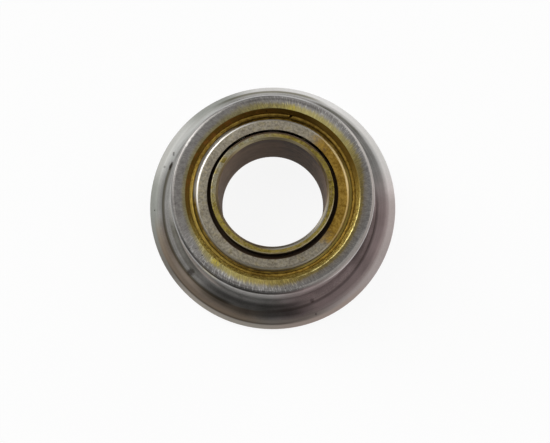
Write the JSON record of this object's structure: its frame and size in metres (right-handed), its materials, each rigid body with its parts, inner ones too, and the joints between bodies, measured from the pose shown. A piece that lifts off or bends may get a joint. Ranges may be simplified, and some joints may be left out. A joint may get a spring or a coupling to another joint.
{
  "type": "flanged ball bearing",
  "caption": "Shielded ball bearing with a bevelled flange at its back, a straight nose that presses into a hub and a free inner ring for an axle, worn and oil stained.",
  "frame": {"origin": "on the axis of rotation at the flange's back face, the centre of the bottom of the box", "axes": "+Z along the axis of rotation, from the flange towards the nose; X and Y across it"},
  "size_m": [0.0464, 0.0464, 0.0145],
  "materials": {
    "ring_steel": "ground steel with radial scratches and an amber oil stain",
    "inner_steel": "ground steel under an olive oil film",
    "shield_sheet": "matt speckled pressed sheet",
    "snap_wire": "spring wire under a golden oil film",
    "cage_sheet": "pressed sheet, lightly oiled",
    "rivet_steel": "bright steel rivets",
    "ball_steel": "polished steel balls"
  },
  "bodies": {
    "outer": {"outer_ring": "ring_steel", "front_shield": "shield_sheet", "rear_shield": "shield_sheet", "front_snap_ring": "snap_wire", "rear_snap_ring": "snap_wire"},
    "inner": {"inner_ring": "inner_steel"},
    "cage": {"cage_front_half": "cage_sheet", "cage_rear_half": "cage_sheet", "cage_rivets": "rivet_steel"},
    "ball_01": {"ball_01": "ball_steel"},
    "ball_02": {"ball_02": "ball_steel"},
    "ball_03": {"ball_03": "ball_steel"},
    "ball_04": {"ball_04": "ball_steel"},
    "ball_05": {"ball_05": "ball_steel"},
    "ball_06": {"ball_06": "ball_steel"},
    "ball_07": {"ball_07": "ball_steel"},
    "ball_08": {"ball_08": "ball_steel"},
    "ball_09": {"ball_09": "ball_steel"},
    "ball_10": {"ball_10": "ball_steel"},
    "ball_11": {"ball_11": "ball_steel"},
    "ball_12": {"ball_12": "ball_steel"}
  },
  "joints": [
    {"name": "inner_spin", "type": "hinge", "parent": "outer", "child": "inner", "pos_m": [0, 0, 0.00695], "axis": [0, 0, 1], "continuous": true},
    {"name": "cage_spin", "type": "hinge", "parent": "outer", "child": "cage", "pos_m": [0, 0, 0.00695], "axis": [0, 0, 1], "continuous": true},
    {"name": "ball_01_roll", "type": "hinge", "parent": "cage", "child": "ball_01", "pos_m": [0.01291, 0, 0.00695], "axis": [0, 0, 1], "continuous": true},
    {"name": "ball_02_roll", "type": "hinge", "parent": "cage", "child": "ball_02", "pos_m": [0.01118, 0.00645, 0.00695], "axis": [0, 0, 1], "continuous": true},
    {"name": "ball_03_roll", "type": "hinge", "parent": "cage", "child": "ball_03", "pos_m": [0.00645, 0.01118, 0.00695], "axis": [0, 0, 1], "continuous": true},
    {"name": "ball_04_roll", "type": "hinge", "parent": "cage", "child": "ball_04", "pos_m": [0, 0.01291, 0.00695], "axis": [0, 0, 1], "continuous": true},
    {"name": "ball_05_roll", "type": "hinge", "parent": "cage", "child": "ball_05", "pos_m": [-0.00645, 0.01118, 0.00695], "axis": [0, 0, 1], "continuous": true},
    {"name": "ball_06_roll", "type": "hinge", "parent": "cage", "child": "ball_06", "pos_m": [-0.01118, 0.00645, 0.00695], "axis": [0, 0, 1], "continuous": true},
    {"name": "ball_07_roll", "type": "hinge", "parent": "cage", "child": "ball_07", "pos_m": [-0.01291, 0, 0.00695], "axis": [0, 0, 1], "continuous": true},
    {"name": "ball_08_roll", "type": "hinge", "parent": "cage", "child": "ball_08", "pos_m": [-0.01118, -0.00645, 0.00695], "axis": [0, 0, 1], "continuous": true},
    {"name": "ball_09_roll", "type": "hinge", "parent": "cage", "child": "ball_09", "pos_m": [-0.00645, -0.01118, 0.00695], "axis": [0, 0, 1], "continuous": true},
    {"name": "ball_10_roll", "type": "hinge", "parent": "cage", "child": "ball_10", "pos_m": [0, -0.01291, 0.00695], "axis": [0, 0, 1], "continuous": true},
    {"name": "ball_11_roll", "type": "hinge", "parent": "cage", "child": "ball_11", "pos_m": [0.00645, -0.01118, 0.00695], "axis": [0, 0, 1], "continuous": true},
    {"name": "ball_12_roll", "type": "hinge", "parent": "cage", "child": "ball_12", "pos_m": [0.01118, -0.00645, 0.00695], "axis": [0, 0, 1], "continuous": true}
  ],
  "couplings": [
    {"joint": "cage_spin", "follows": "inner_spin", "ratio": 0.42314},
    {"joint": "ball_01_roll", "follows": "inner_spin", "ratio": -3.1757},
    {"joint": "ball_02_roll", "follows": "inner_spin", "ratio": -3.1757},
    {"joint": "ball_03_roll", "follows": "inner_spin", "ratio": -3.1757},
    {"joint": "ball_04_roll", "follows": "inner_spin", "ratio": -3.1757},
    {"joint": "ball_05_roll", "follows": "inner_spin", "ratio": -3.1757},
    {"joint": "ball_06_roll", "follows": "inner_spin", "ratio": -3.1757},
    {"joint": "ball_07_roll", "follows": "inner_spin", "ratio": -3.1757},
    {"joint": "ball_08_roll", "follows": "inner_spin", "ratio": -3.1757},
    {"joint": "ball_09_roll", "follows": "inner_spin", "ratio": -3.1757},
    {"joint": "ball_10_roll", "follows": "inner_spin", "ratio": -3.1757},
    {"joint": "ball_11_roll", "follows": "inner_spin", "ratio": -3.1757},
    {"joint": "ball_12_roll", "follows": "inner_spin", "ratio": -3.1757}
  ]
}
